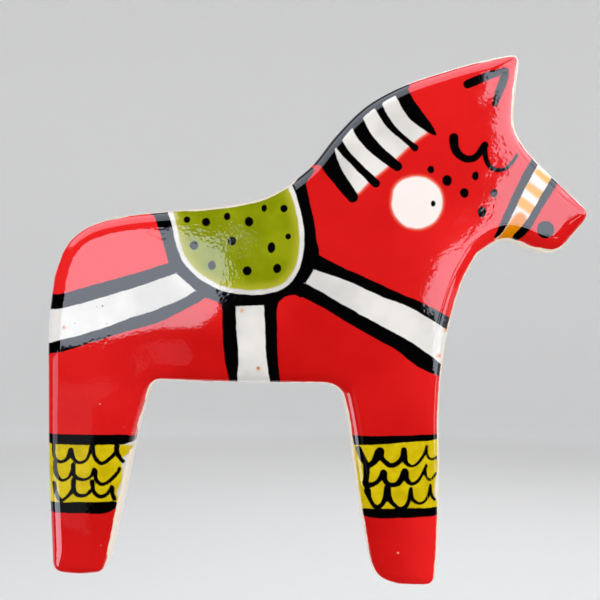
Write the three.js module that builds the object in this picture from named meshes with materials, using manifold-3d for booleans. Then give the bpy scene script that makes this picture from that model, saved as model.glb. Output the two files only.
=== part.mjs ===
// A flat ceramic dala horse brooch: a glazed slab cut to a horse's outline, with a bar pin glued to its back.
// Millimetres. The brooch is upright, as it is worn: +X towards the horse's nose, +Z up, the painted face
// towards -Y and the pin finding towards +Y. The origin is the middle of the pin stem's axis, where cloth
// holds it.

import * as THREE from "three";
import { mergeVertices } from "three/addons/utils/BufferGeometryUtils.js";
import Module from "manifold-3d";

const wasm = await Module();
wasm.setup();

// ---------------------------------------------------------------- driving dimensions

// The outline is drawn from a point in the middle of the horse; the pin's middle is this far from that point.
const PIN_AHEAD = -3.6;
const PIN_ABOVE = 3.4;

const SLAB_THICKNESS = 5;
const FRONT_ROUNDING = 1.5;
const BACK_CHAMFER = 0.35;
const CORNER_FILL = 0.8; // share of a corner's radius that the rounding takes up
const CORNER_EASE = 0.35; // how fast the rounding widens again beside a corner
const CURVE_STEPS = 6;
const ROUNDING_STEPS = 5;

const BAR = { length: 32, width: 5, thickness: 0.8, hole: 1 };
const BAR_HOLES = [-5.5, 5.5];
const GLUE = { thickness: 0.4, margin: 0.8, button: 1.5, buttonHeight: 0.35 };
const STEM_HEIGHT = 2.4; // from the bar's outer face to the stem's axis
const FIT = 0.05; // gap round a fixed rivet or tenon

const STEM = { radius: 0.375, point: 3.2, eyeRadius: 1.15, eyeBore: 0.5, eyeWidth: 2.4 };
const HINGE_X = -13;
const HINGE_PIN = { radius: 0.43, headRadius: 0.75, head: 0.28 };
const BRACKET = { length: 3.8, sheet: 0.45, inside: 2.7, top: 1.25 };
const BRACKET_RIVET = { radius: 0.55, headRadius: 0.95, head: 0.4 };

const CATCH_X = 12.6;
const HOUSING = { inner: 1.45, outer: 1.95, length: 3.2, cheek: 0.8, opening: 1.3, foot: 1.2, saddle: 65 };
const TENON_RADIUS = 0.6;
const ROTOR = { inner: 0.6, outer: 1.35, slot: 0.95, length: 3.6 };
const LEVER = { reach: 3.4, width: 1.3, thickness: 0.5, angle: 65 };

const ROUND = 24; // facets of a full circle

// Depths along Y, from the pin stem's axis towards the painted face.
const BAR_OUTER = -STEM_HEIGHT;
const BAR_INNER = BAR_OUTER - BAR.thickness;
const SLAB_BACK = BAR_INNER - GLUE.thickness;
const SLAB_FRONT = SLAB_BACK - SLAB_THICKNESS;

// ---------------------------------------------------------------- materials

const redGlaze = new THREE.MeshStandardMaterial({ color: 0xd4140f, roughness: 0.12, metalness: 0 });
const epoxy = new THREE.MeshStandardMaterial({ color: 0xd9cfa6, roughness: 0.35, metalness: 0 });
const nickel = new THREE.MeshStandardMaterial({ color: 0xc4c6c8, roughness: 0.28, metalness: 1 });
const steelWire = new THREE.MeshStandardMaterial({ color: 0xd2d3d4, roughness: 0.18, metalness: 1 });

// ---------------------------------------------------------------- solids

const radians = THREE.MathUtils.degToRad;

function solidOf(geometry) {
  const bare = geometry.index ? geometry.toNonIndexed() : geometry.clone();
  bare.deleteAttribute("normal");
  bare.deleteAttribute("uv");
  const merged = mergeVertices(bare, 1e-4);
  const vertProperties = merged.attributes.position.array;
  const triVerts = new Uint32Array(merged.index.array);
  return new wasm.Manifold(new wasm.Mesh({ numProp: 3, vertProperties, triVerts }));
}

function geometryOf(solid) {
  const mesh = solid.getMesh();
  const geometry = new THREE.BufferGeometry();
  geometry.setAttribute("position", new THREE.BufferAttribute(mesh.vertProperties, 3));
  geometry.setIndex(new THREE.BufferAttribute(mesh.triVerts, 1));
  return geometry;
}

function joined(...geometries) {
  return geometryOf(geometries.map(solidOf).reduce((all, next) => all.add(next)));
}

function cut(geometry, ...cutters) {
  return geometryOf(cutters.map(solidOf).reduce((left, cutter) => left.subtract(cutter), solidOf(geometry)));
}

// A shape drawn in X and Z, extruded along Y between two depths.
function plate(shape, yLow, yHigh) {
  const geometry = new THREE.ExtrudeGeometry(shape, {
    depth: yHigh - yLow,
    bevelEnabled: false,
    curveSegments: ROUND / 2,
  });
  return geometry.rotateX(Math.PI / 2).translate(0, yHigh, 0);
}

// A shape drawn in Y and Z, extruded along X and centred on x.
function acrossX(shape, length, x) {
  const geometry = new THREE.ExtrudeGeometry(shape, {
    depth: length,
    bevelEnabled: false,
    curveSegments: ROUND,
  });
  const turn = new THREE.Matrix4().makeBasis(
    new THREE.Vector3(0, 1, 0),
    new THREE.Vector3(0, 0, 1),
    new THREE.Vector3(1, 0, 0),
  );
  return geometry.applyMatrix4(turn).translate(x - length / 2, 0, 0);
}

// A round solid about an axis along Y, from [radius, y] points.
function turned(profile, x = 0) {
  const points = profile.map(([radius, y]) => new THREE.Vector2(radius, y));
  return new THREE.LatheGeometry(points, ROUND).translate(x, 0, 0);
}

function rodAlongY(radius, yLow, yHigh, x = 0) {
  return turned([[0, yLow], [radius, yLow], [radius, yHigh], [0, yHigh]], x);
}

function rodAlongZ(radius, length, x = 0) {
  return new THREE.CylinderGeometry(radius, radius, length, ROUND).rotateX(Math.PI / 2).translate(x, 0, 0);
}

function box(sizeX, sizeY, sizeZ) {
  return new THREE.BoxGeometry(sizeX, sizeY, sizeZ);
}

function circlePath(x, y, radius) {
  return new THREE.Path().absarc(x, y, radius, 0, 2 * Math.PI, true);
}

// A rectangle with half-round ends along X.
function stadium(length, width) {
  const r = width / 2;
  const middle = length / 2 - r;
  const shape = new THREE.Shape();
  shape.absarc(middle, 0, r, -Math.PI / 2, Math.PI / 2, false);
  shape.absarc(-middle, 0, r, Math.PI / 2, (3 * Math.PI) / 2, false);
  return shape;
}

// ---------------------------------------------------------------- the horse

// The slab's widest section, anticlockwise from the hind heel, as the painted side is seen.
function horseOutline() {
  const points = (...pairs) => pairs.map(([x, y]) => new THREE.Vector2(x, y));
  const horse = new THREE.Shape();
  horse.moveTo(-25.05, -26.4);
  horse.quadraticCurveTo(-24.95, -27.45, -23.9, -27.6); // hind heel
  horse.splineThru(points([-22.3, -27.75], [-20.5, -27.6]));
  horse.quadraticCurveTo(-19.7, -27.5, -19.45, -26.4); // hind toe
  horse.splineThru(
    points([-18.75, -23.2], [-18.1, -20.2], [-17.45, -17], [-16.75, -13.8], [-15.9, -10.8], [-15.2, -8.9]),
  );
  horse.quadraticCurveTo(-14.9, -8.15, -14.1, -8.1); // flank
  horse.splineThru(points([-8, -8.3], [2.3, -8.45]));
  horse.quadraticCurveTo(3.85, -8.55, 4.3, -9.6); // elbow
  horse.splineThru(points([4.9, -12.7], [5.45, -17], [6.05, -21.1], [6.8, -25.2]));
  horse.bezierCurveTo(7.1, -27.3, 7.6, -28.4, 10, -28.8); // fore heel
  horse.splineThru(points([12.3, -28.9]));
  horse.quadraticCurveTo(13.6, -28.9, 13.75, -27.8); // fore toe
  horse.splineThru(
    points([14, -24], [14.15, -18], [14.08, -11.5], [14.5, -6], [15.35, -1.7], [16.5, 1.9], [18, 4.6]),
  );
  horse.splineThru(points([19.2, 5.5], [20.2, 6], [21.3, 6.1])); // throat
  horse.splineThru(points([22.3, 5.8], [23.5, 5.25], [24.7, 4.85]));
  horse.quadraticCurveTo(25.8, 4.6, 26.6, 5.3); // chin
  horse.splineThru(points([28.7, 7.75]));
  horse.quadraticCurveTo(29.4, 8.7, 28.75, 9.35); // nose
  horse.splineThru(
    points(
      [26.15, 11.85], [23.7, 14.25], [22.35, 16], [21.7, 17.5], [21.65, 19.2], [21.95, 22.4], [22.1, 23.9],
    ),
  );
  horse.quadraticCurveTo(22.1, 24.75, 21.3, 24.75); // ear
  horse.splineThru(
    points([18.2, 24.15], [14.2, 23], [10.2, 21.6], [6.6, 19.55], [3.6, 16.6], [1.2, 13.6], [-1.4, 11.5]),
  );
  horse.splineThru(
    points([-4, 10.25], [-8, 9.5], [-13, 9.05], [-18, 8.5], [-21.4, 7.5], [-23.7, 5.5], [-24.9, 2.4]),
  );
  horse.splineThru(points([-25.45, -2.5], [-25.5, -9], [-25.45, -16], [-25.25, -21.5], [-25.05, -26.4]));
  return horse;
}

// The outline's points in the part's frame, without the repeated last one.
function outlinePoints() {
  const points = horseOutline().getPoints(CURVE_STEPS);
  const distinct = points.filter((p, i) => p.distanceTo(points[(i + 1) % points.length]) > 1e-6);
  return distinct.map((p) => new THREE.Vector2(p.x - PIN_AHEAD, p.y - PIN_ABOVE));
}

function inwardNormals(points) {
  return points.map((_, i) => {
    const before = points.at(i - 1);
    const after = points[(i + 1) % points.length];
    return new THREE.Vector2(before.y - after.y, after.x - before.x).normalize();
  });
}

// How far the rounding may reach in from each point: less at a tight corner, and rising gently away from it.
function reachInside(points, normals) {
  const room = points.map((p, i) => {
    const radii = points.map((q) => {
      const across = q.clone().sub(p);
      const depth = across.dot(normals[i]);
      return depth > 1e-6 ? across.lengthSq() / (2 * depth) : Infinity;
    });
    return CORNER_FILL * Math.min(...radii);
  });
  return points.map((p) => {
    const eased = points.map((q, j) => room[j] + CORNER_EASE * p.distanceTo(q));
    return Math.min(FRONT_ROUNDING, ...eased);
  });
}

// The slab's skin: rings of the outline, each moved inwards and to its own depth, closed by two flat faces.
// The front edge is a quarter round that narrows where the outline is too tight for it.
function slabGeometry() {
  const outline = outlinePoints();
  const normals = inwardNormals(outline);
  const reach = reachInside(outline, normals);
  const ring = (inset, y) =>
    outline.map((p, i) => {
      const moved = (inset * reach[i]) / FRONT_ROUNDING;
      return new THREE.Vector3(p.x + normals[i].x * moved, y, p.y + normals[i].y * moved);
    });
  const rings = [ring(BACK_CHAMFER, SLAB_BACK), ring(0, SLAB_BACK - BACK_CHAMFER)];
  for (let k = 0; k <= ROUNDING_STEPS; k++) {
    const turn = ((k / ROUNDING_STEPS) * Math.PI) / 2;
    const inset = FRONT_ROUNDING * (1 - Math.cos(turn));
    const rise = FRONT_ROUNDING * (1 - Math.sin(turn));
    rings.push(ring(inset, SLAB_FRONT + rise));
  }
  return skinned(rings);
}

function skinned(rings) {
  const count = rings[0].length;
  const corners = [];
  const face = (...vectors) => vectors.forEach((v) => corners.push(v.x, v.y, v.z));
  for (let k = 0; k + 1 < rings.length; k++) {
    for (let i = 0; i < count; i++) {
      const j = (i + 1) % count;
      face(rings[k][i], rings[k][j], rings[k + 1][i]);
      face(rings[k][j], rings[k + 1][j], rings[k + 1][i]);
    }
  }
  const flat = (ring) => THREE.ShapeUtils.triangulateShape(ring.map((p) => new THREE.Vector2(p.x, p.z)), []);
  const back = rings[0];
  const front = rings.at(-1);
  flat(back).forEach(([a, b, c]) => face(back[a], back[c], back[b]));
  flat(front).forEach(([a, b, c]) => face(front[a], front[b], front[c]));
  const geometry = new THREE.BufferGeometry();
  geometry.setAttribute("position", new THREE.Float32BufferAttribute(corners, 3));
  return geometryOf(solidOf(geometry));
}

// ---------------------------------------------------------------- the pin finding

// A thin bed of glue under the bar, with a button squeezed out through each of the bar's holes.
function glueBed() {
  const outline = stadium(BAR.length + 2 * GLUE.margin, BAR.width + 2 * GLUE.margin);
  const bed = plate(outline, SLAB_BACK, BAR_INNER);
  const shank = BAR.hole - FIT;
  const inside = (SLAB_BACK + BAR_INNER) / 2;
  const buttons = BAR_HOLES.map((x) =>
    turned(
      [
        [0, inside],
        [shank, inside],
        [shank, BAR_OUTER],
        [GLUE.button, BAR_OUTER],
        [GLUE.button * 0.8, BAR_OUTER + GLUE.buttonHeight * 0.7],
        [0, BAR_OUTER + GLUE.buttonHeight],
      ],
      x,
    ),
  );
  return joined(bed, ...buttons);
}

function backBar() {
  const strip = stadium(BAR.length, BAR.width);
  strip.holes = [
    ...BAR_HOLES.map((x) => circlePath(x, 0, BAR.hole)),
    circlePath(HINGE_X, 0, BRACKET_RIVET.radius + FIT),
    circlePath(CATCH_X, 0, TENON_RADIUS + FIT),
  ];
  return plate(strip, BAR_INNER, BAR_OUTER);
}

// A strip folded into a U: its base lies on the bar and its two ears carry the hinge pin.
function hingeBracket() {
  const half = BRACKET.length / 2;
  const width = BRACKET.inside + 2 * BRACKET.sheet;
  const base = box(BRACKET.length, BRACKET.sheet, width).translate(0, BAR_OUTER + BRACKET.sheet / 2, 0);
  const ear = new THREE.Shape();
  ear.moveTo(-half, BAR_OUTER).lineTo(half, BAR_OUTER).lineTo(BRACKET.top, 0);
  ear.absarc(0, 0, BRACKET.top, 0, Math.PI, false);
  const ears = [-1, 1].map((side) => {
    const sheet = { depth: BRACKET.sheet, bevelEnabled: false, curveSegments: ROUND / 2 };
    const geometry = new THREE.ExtrudeGeometry(ear, sheet);
    return geometry.translate(0, 0, (side * (BRACKET.inside + BRACKET.sheet)) / 2 - BRACKET.sheet / 2);
  });
  const folded = joined(base, ...ears);
  const rivetHole = rodAlongY(BRACKET_RIVET.radius + FIT, BAR_OUTER - 1, BAR_OUTER + 1);
  const pinHole = rodAlongZ(HINGE_PIN.radius + FIT, 2 * width);
  return cut(folded, rivetHole, pinHole).translate(HINGE_X, 0, 0);
}

function bracketRivet() {
  const seat = BAR_OUTER + BRACKET.sheet;
  const { radius, headRadius, head } = BRACKET_RIVET;
  return turned(
    [
      [0, BAR_INNER],
      [radius, BAR_INNER],
      [radius, seat],
      [headRadius, seat],
      [headRadius * 0.75, seat + head * 0.75],
      [0, seat + head],
    ],
    HINGE_X,
  );
}

function hingePin() {
  const width = BRACKET.inside + 2 * BRACKET.sheet;
  const { radius, headRadius, head } = HINGE_PIN;
  const heads = [-1, 1].map((side) =>
    rodAlongZ(headRadius, head, HINGE_X).translate(0, 0, (side * (width + head)) / 2),
  );
  return joined(rodAlongZ(radius, width + head, HINGE_X), ...heads);
}

// The wire, sharpened at its free end, and the eye that turns on the hinge pin.
function pinStem() {
  const tip = CATCH_X + HOUSING.length / 2 + STEM.point - HINGE_X;
  const start = (STEM.eyeBore + STEM.eyeRadius) / 2;
  const wire = turned([
    [0, start],
    [STEM.radius, start],
    [STEM.radius, tip - STEM.point],
    [STEM.radius * 0.6, tip - STEM.point * 0.35],
    [0, tip],
  ]).rotateZ(-Math.PI / 2);
  const eye = rodAlongZ(STEM.eyeRadius, STEM.eyeWidth);
  return cut(joined(eye, wire), rodAlongZ(STEM.eyeBore, STEM.eyeWidth + 1)).translate(HINGE_X, 0, 0);
}

// Two open cheeks on a saddle, riveted to the bar by a tenon.
// Between the cheeks the rotor's lever has its travel.
function catchHousing() {
  const ringShape = new THREE.Shape().absarc(0, 0, HOUSING.outer, 0, 2 * Math.PI, false);
  ringShape.holes.push(circlePath(0, 0, HOUSING.inner));
  const far = HOUSING.outer + 1;
  const mouth = box(HOUSING.length + 1, far, HOUSING.opening).translate(CATCH_X, far / 2, 0);
  const window = new THREE.Shape();
  window.absarc(0, 0, far, radians(HOUSING.saddle - 180), radians(180 - HOUSING.saddle), false);
  window.lineTo(0, 0);
  const gap = HOUSING.length - 2 * HOUSING.cheek;
  const barrel = cut(acrossX(ringShape, HOUSING.length, CATCH_X), mouth, acrossX(window, gap, CATCH_X));
  const footHeight = STEM_HEIGHT - HOUSING.inner - 0.1;
  const footMiddle = BAR_OUTER + footHeight / 2;
  const foot = box(HOUSING.length, footHeight, 2 * HOUSING.foot).translate(CATCH_X, footMiddle, 0);
  const tenon = rodAlongY(TENON_RADIUS, BAR_INNER, footMiddle, CATCH_X);
  return joined(barrel, foot, tenon);
}

// A slotted tube that turns in the housing: its slot faces the housing's mouth when the catch is open.
function catchRotor() {
  const tubeShape = new THREE.Shape().absarc(0, 0, ROTOR.outer, 0, 2 * Math.PI, false);
  tubeShape.holes.push(circlePath(0, 0, ROTOR.inner));
  const far = ROTOR.outer + 1;
  const slot = box(ROTOR.length + 1, far, ROTOR.slot).translate(CATCH_X, far / 2, 0);
  const root = (ROTOR.inner + ROTOR.outer) / 2;
  const lever = box(LEVER.width, LEVER.reach - root, LEVER.thickness)
    .translate(CATCH_X, (LEVER.reach + root) / 2, 0)
    .rotateX(radians(LEVER.angle));
  return joined(cut(acrossX(tubeShape, ROTOR.length, CATCH_X), slot), lever);
}

// ---------------------------------------------------------------- assembly

function named(name, geometry, material) {
  const mesh = new THREE.Mesh(geometry, material);
  mesh.name = name;
  return mesh;
}

const brooch = new THREE.Group();
brooch.add(
  named("ceramic_horse", slabGeometry(), redGlaze),
  named("glue_bed", glueBed(), epoxy),
  named("back_bar", backBar(), nickel),
  named("hinge_bracket", hingeBracket(), nickel),
  named("bracket_rivet", bracketRivet(), nickel),
  named("hinge_pin", hingePin(), nickel),
  named("pin_stem", pinStem(), steelWire),
  named("catch_housing", catchHousing(), nickel),
  named("catch_rotor", catchRotor(), nickel),
);

export default brooch;
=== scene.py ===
"""A flat ceramic dala horse brooch: glazed and hand-painted in front, a bar pin glued to its plain back.

Blender's units are metres. The script's own sizes are millimetres. The painting is drawn on the horse's
face, u to the right and v up, about a point in the middle of the horse.
"""

import math

import bpy
import numpy as np
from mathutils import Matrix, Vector
from mathutils.geometry import delaunay_2d_cdt


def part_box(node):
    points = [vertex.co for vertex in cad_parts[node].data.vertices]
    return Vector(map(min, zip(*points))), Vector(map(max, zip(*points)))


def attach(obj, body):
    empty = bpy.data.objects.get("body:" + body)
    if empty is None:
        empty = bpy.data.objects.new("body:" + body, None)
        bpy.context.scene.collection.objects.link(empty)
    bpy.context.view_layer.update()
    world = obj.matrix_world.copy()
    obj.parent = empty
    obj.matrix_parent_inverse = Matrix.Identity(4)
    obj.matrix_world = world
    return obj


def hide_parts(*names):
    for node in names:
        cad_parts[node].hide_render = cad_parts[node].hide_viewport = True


MM = 0.001

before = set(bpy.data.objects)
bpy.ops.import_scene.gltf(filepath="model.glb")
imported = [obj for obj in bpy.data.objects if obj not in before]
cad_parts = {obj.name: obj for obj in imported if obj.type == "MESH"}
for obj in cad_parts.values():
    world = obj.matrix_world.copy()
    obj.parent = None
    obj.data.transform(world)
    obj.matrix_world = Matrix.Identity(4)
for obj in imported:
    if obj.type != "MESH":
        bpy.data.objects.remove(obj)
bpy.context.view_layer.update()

# ---------------- the slab's measures, from the frame

HORSE_LOW, HORSE_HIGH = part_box("ceramic_horse")
FRONT = HORSE_LOW.y / MM
BACK = HORSE_HIGH.y / MM
DRAWING_CORNER = (-25.51, -28.9)  # the horse's lowest left corner in the drawing
ORIGIN_X = HORSE_LOW.x / MM - DRAWING_CORNER[0]
ORIGIN_Z = HORSE_LOW.z / MM - DRAWING_CORNER[1]

BACK_CHAMFER = 0.35
FRONT_ROUNDING = 1.5
CORNER_FILL = 0.8  # share of a corner's radius that the rounding takes up
CORNER_EASE = 0.35  # how fast the rounding widens again beside a corner
CROWN = 0.02  # how far the middle of the face stands out past its edge
CROWN_EASE = 2.5  # how far in from the rounding the crown has mostly risen

OUTLINE_STEP = 0.19  # between the mesh's points along the outline
CELL = 0.155  # of the painted face's mesh
BACK_CELL = 1.1
CELL_CLEARANCE = 0.75  # how many cells' width the square cells keep away from the outline
ROUNDING_RINGS = 11
WALL_RINGS = 7
BACK_EDGE = 0.25  # share of the wall's height that the back edge's softening takes up

# ---------------- the painting
# Outlines are lists of (u, v); a point given twice is a sharp corner. Strokes are lists of (u, v, width),
# dots are (u, v, width, height), and specks and the painted pit highlights are (u, v, radius).

SADDLE = [
    (-13.35, 10.2), (-13.3, 8.9), (-12.95, 8), (-12.7, 7), (-12.5, 6), (-12.2, 5), (-11.8, 4), (-11.2, 3.2),
    (-10.3, 2.3), (-9.2, 1.6), (-8, 1), (-7, 0.75), (-5.5, 0.55), (-4, 0.55), (-2.2, 0.9), (-1.2, 1.5),
    (-0.5, 2.3), (0, 3.3), (0.3, 4.5), (0.42, 6), (0.32, 7.5), (0.1, 8.7), (-0.3, 10.2), (-0.9, 11.8),
    (-1.6, 13.2),
]
SADDLE_BORDER = 0.45  # the white line left round the green
UNDERLAP = 0.35  # how far the red stops short of the white shapes, under the black that surrounds them
SADDLE_DOTS = [
    (-11.3, 8.05, 0.7, 0.7), (-9.4, 7.8, 0.85, 0.85), (-7.3, 8.35, 0.65, 0.8), (-5.1, 7.85, 0.85, 0.95),
    (-3.6, 9.2, 0.55, 0.75), (-1.6, 9.15, 0.75, 0.75), (-6.8, 5.9, 0.85, 0.95), (-1.2, 6.35, 0.6, 0.6),
    (-2.85, 5.25, 0.8, 1.1), (-10.6, 5.45, 0.9, 0.9), (-8.8, 3.45, 0.8, 0.95), (-5.3, 2.9, 0.95, 0.95),
    (-2.3, 3.15, 0.85, 1),
]
BLACK_ROUND_SADDLE = [
    (-14.75, 10.2), (-14.5, 8.2), (-14.1, 7), (-13.8, 6), (-13.5, 5), (-13.1, 3.7), (-12.2, 1.6),
    (-10.6, 0.3), (-9.4, 0.2), (-8.5, -0.1), (-7.6, -0.4), (-5, -0.6), (-2.3, -0.25), (-1.5, 0.3),
    (-0.5, 0.5), (0.2, 0.3), (1.3, 1.6), (1.9, 4.6), (1.65, 6), (1.4, 8), (0.95, 10), (0.6, 11.6),
    (0.3, 13.4),
]
REAR_STRAP_BLACK = [
    (-26.5, 0.25), (-24, 0.6), (-20, 1.7), (-16, 2.8), (-13.1, 3.7), (-11.6, 3.4), (-9, 1.3), (-9.4, 0.3),
    (-10.5, -0.4), (-12, -1.2), (-14, -2.2), (-16, -2.8), (-18, -3.35), (-20, -4), (-22, -4.6),
    (-23.5, -5.1), (-25, -5.35), (-26.5, -5.5),
]
REAR_STRAP_WHITE = [
    (-26.5, -1.35), (-24, -0.85), (-22, -0.4), (-20, 0.2), (-18, 0.8), (-16, 1.4), (-14, 2.1),
    (-12.4, 2.65), (-12.4, 2.65), (-11.5, 1.9), (-10.5, 0.93), (-10.5, 0.93), (-12, 0), (-13.5, -0.6),
    (-15, -1.2), (-17, -1.8), (-19, -2.6), (-21, -3.2), (-23, -3.75), (-26.5, -4.25),
]
FRONT_STRAP_BLACK = [
    (1.2, 4.9), (1.9, 4.5), (4, 3.4), (6, 2.5), (8, 1.6), (10.4, 0.5), (12.5, -0.4), (15.1, -1.8),
    (16.6, -2.7), (16, -9), (13.9, -7.6), (12.8, -7.2), (11.35, -6.4), (9.9, -5.2), (8, -4.1), (6, -3),
    (4, -1.8), (2, -0.6), (0.2, 0.3), (-0.6, 1),
]
FRONT_STRAP_WHITE = [
    (1.4, 3.05), (1.4, 3.05), (3, 2.5), (5, 1.8), (8, 0.4), (10.9, -0.7), (12.8, -1.8), (14.5, -2.85),
    (16.4, -4), (16, -7.8), (14.1, -6.4), (13.1, -5.6), (10.9, -4.1), (8, -2.5), (6, -1.4), (4, -0.3),
    (2, 0.9), (0.55, 1.7), (0.55, 1.7),
]
GIRTH_BLACK = [
    (-7.95, 1), (-7.8, -1), (-7.72, -4), (-7.5, -6), (-7.15, -8), (-7.1, -10), (-1.95, -10), (-2, -8),
    (-2.25, -5), (-2.3, -1), (-2.2, 1),
]
GIRTH_WHITE = [
    (-6.42, -0.85), (-6.25, -0.64), (-5, -0.58), (-3.8, -0.55), (-3.62, -0.75), (-3.5, -3), (-3.35, -6),
    (-3.1, -10), (-6.1, -10), (-6.15, -6), (-6.35, -3),
]
HIND_BAND = [(-27, -13.95), (-15.5, -13.95), (-17.5, -20.7), (-27, -20.7)]
FORE_BAND = [(4, -14.05), (15, -13.8), (15, -21.3), (5.5, -21.3)]
HIND_YELLOW = [
    (-27, -13.9), (-18.7, -14.1), (-18, -14.45), (-16.75, -14.75), (-17.15, -15.4), (-17.9, -15.95),
    (-17.85, -17), (-18, -18.3), (-18.45, -19.3), (-18.9, -20.8), (-27, -20.9),
]
FORE_YELLOW = [
    (4.9, -13.9), (5.4, -16), (5.75, -18), (6.1, -20.6), (6.3, -21.6), (13.75, -21.6), (13.5, -19.5),
    (13.78, -17), (14.2, -14.9), (14.1, -14.2), (12.2, -13.6),
]
MANE_WHITE = [
    (3.4, 15.2), (4, 16.4), (5.5, 18.3), (7.6, 20), (9.6, 21.1), (10.4, 21.4), (10.9, 19.3), (12.2, 17.6),
    (12.75, 16.85), (12.1, 16.35), (10.8, 15.3), (8.8, 13.4), (6.9, 11.8), (5.8, 10.72), (5, 10.9),
    (4.2, 11.8), (3.55, 13.3),
]
BRIDLE_CREAM = [
    (24.1, 14.9), (23.4, 13.8), (22.45, 12), (21.5, 10), (20.55, 8), (20, 6.9), (19.75, 5.6), (21.2, 5.4),
    (21.9, 6.3), (22.6, 7.1), (23.2, 8), (24.3, 10), (25.3, 11.7), (26.2, 12.6),
]
EYE = [
    (9.2, 10), (9.45, 11.2), (10.25, 12), (11.5, 12.33), (12.8, 12.1), (13.8, 11.3), (14.22, 10.2),
    (14.15, 9.1), (13.7, 8.15), (12.9, 7.45), (11.8, 7.15), (10.6, 7.4), (9.7, 8.15), (9.25, 9.05),
]
ORANGE_PATCHES = [
    [(23.85, 12.8, 0.75), (24.85, 11.95, 0.8)],
    [(22.95, 11.3, 0.85), (23.9, 10.6, 0.95)],
    [(22.15, 9.8, 1), (23.1, 9.05, 1.05)],
]
AMBER_PATCH = [(22, 8.05, 1.4), (21.3, 6.9, 1.6), (20.5, 5.8, 1.5)]
STRAP_AMBER = [
    (14.75, -2.95, 0.3), (13.9, -5.6, 0.2), (14.3, -6.4, 0.2), (-4.15, -6.9, 0.17), (-5.8, -1.05, 0.15),
    (-23.6, -2.75, 0.15),
]
SPECKS = [
    (-19.75, -0.6, 0.13), (-20.3, -0.65, 0.09), (-22.5, -2.35, 0.08), (-19.3, -2.4, 0.09),
    (-23.6, -2.7, 0.1), (-4.2, -6.8, 0.14), (-3.5, 7.9, 0.2), (3.2, -0.6, 0.06), (-6.1, -0.7, 0.08),
]
# Small pale pink dots on the red: painted highlights of little pits in the glaze.
PIT_GLINTS = [
    (9.8, -25.3, 0.12), (-20, -10.4, 0.09), (-17.6, -12.7, 0.08), (-16.9, -13.3, 0.07),
    (-19.9, -24.6, 0.08),
]
FACE_DOTS = [
    (13.1, 13.05, 0.7, 0.8), (14.7, 11.95, 1, 1.15), (16.45, 10.7, 0.9, 1), (17.55, 12.4, 0.7, 0.9),
    (19.4, 10.7, 0.75, 0.85), (18.2, 8.8, 0.85, 1.1), (13.32, 9.6, 0.45, 0.62), (24.55, 7.05, 1.75, 1.75),
]
STROKES = {
    "crest": [(1.75, 14, 0.9), (3.1, 15.7, 1.3), (5.1, 18.1, 1.4), (7.1, 19.85, 1.4), (9.1, 21, 1.3),
              (10.6, 21.6, 0.9)],
    "mane_1": [(2.3, 15.2, 2.2), (2.9, 13.8, 1.8), (3.7, 12.4, 1.45), (4.5, 11.3, 1.3), (5.25, 10.35, 1.15)],
    "mane_2": [(3.5, 16.5, 0.9), (4.35, 14.95, 0.85), (5.5, 13.7, 0.75), (6.7, 12.5, 0.8),
               (7.6, 11.65, 0.85)],
    "mane_3": [(5.4, 18.6, 1.35), (6.1, 17, 1.4), (6.9, 15.8, 1.3), (7.8, 14.9, 1.2), (8.9, 14, 1.05),
               (9.75, 13.35, 0.95)],
    "mane_4": [(7.5, 20.3, 0.85), (8.15, 18.8, 0.8), (8.9, 17.6, 0.72), (9.7, 16.75, 0.6), (10.6, 16, 0.55),
               (11.5, 15.2, 0.72)],
    "mane_5": [(10.1, 21, 1.35), (10.75, 19.7, 1.45), (11.6, 18.5, 1.4), (12.5, 17.6, 1.1), (13.1, 17, 0.7),
               (13.65, 16.45, 0.15)],
    "brow": [(15.4, 16.25, 0.95), (15.45, 15.3, 0.88), (15.85, 14.55, 0.8), (16.6, 14.1, 0.72),
             (17.4, 14.2, 0.7), (18, 14.75, 0.72), (18.5, 15.5, 0.75)],
    "lash": [(18.4, 15.5, 0.6), (18.55, 14.3, 0.56), (18.95, 13.4, 0.5), (19.7, 13, 0.44),
             (20.6, 13.15, 0.4), (21.2, 13.75, 0.36), (21.7, 14.5, 0.4)],
    "ear_top": [(16.75, 21.6, 0.85), (18, 22.1, 0.9), (19.3, 22.6, 0.8), (20.6, 22.95, 0.6)],
    "ear_side": [(20.6, 22.95, 0.6), (20.35, 22, 0.85), (19.95, 20.9, 0.8), (19.5, 19.6, 0.55)],
    "bridle_back": [(24.2, 14.8, 0.85), (23.4, 13.6, 0.85), (22.45, 12, 0.85), (21.5, 10, 0.8),
                    (20.55, 8, 0.75), (20, 6.9, 0.6), (19.6, 6.3, 0.3)],
    "bridle_front": [(26.1, 12.5, 0.75), (25.3, 11.6, 0.8), (24.3, 10, 0.75), (23.7, 9, 0.72),
                     (23.1, 8, 0.75), (22.5, 7.1, 0.85), (21.8, 6.35, 0.8)],
    "hind_upper": [(-27, -13.8, 0.95), (-22, -13.98, 1.05), (-18.2, -13.98, 1), (-17.2, -13.98, 0.8),
                   (-16.3, -13.98, 0.35)],
    "hind_lower": [(-27, -20.7, 0.9), (-22, -20.78, 1.15), (-19.6, -20.75, 1.15), (-18.85, -20.6, 0.9)],
    "fore_upper": [(4.5, -14.05, 0.95), (7, -14.05, 0.9), (10, -13.93, 0.75), (13, -13.78, 0.6),
                   (14.5, -13.65, 0.5)],
    "fore_lower": [(6.6, -21.3, 0.85), (8, -21.36, 0.95), (11, -21.3, 0.95), (13.6, -21.2, 0.85)],
}
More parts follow.
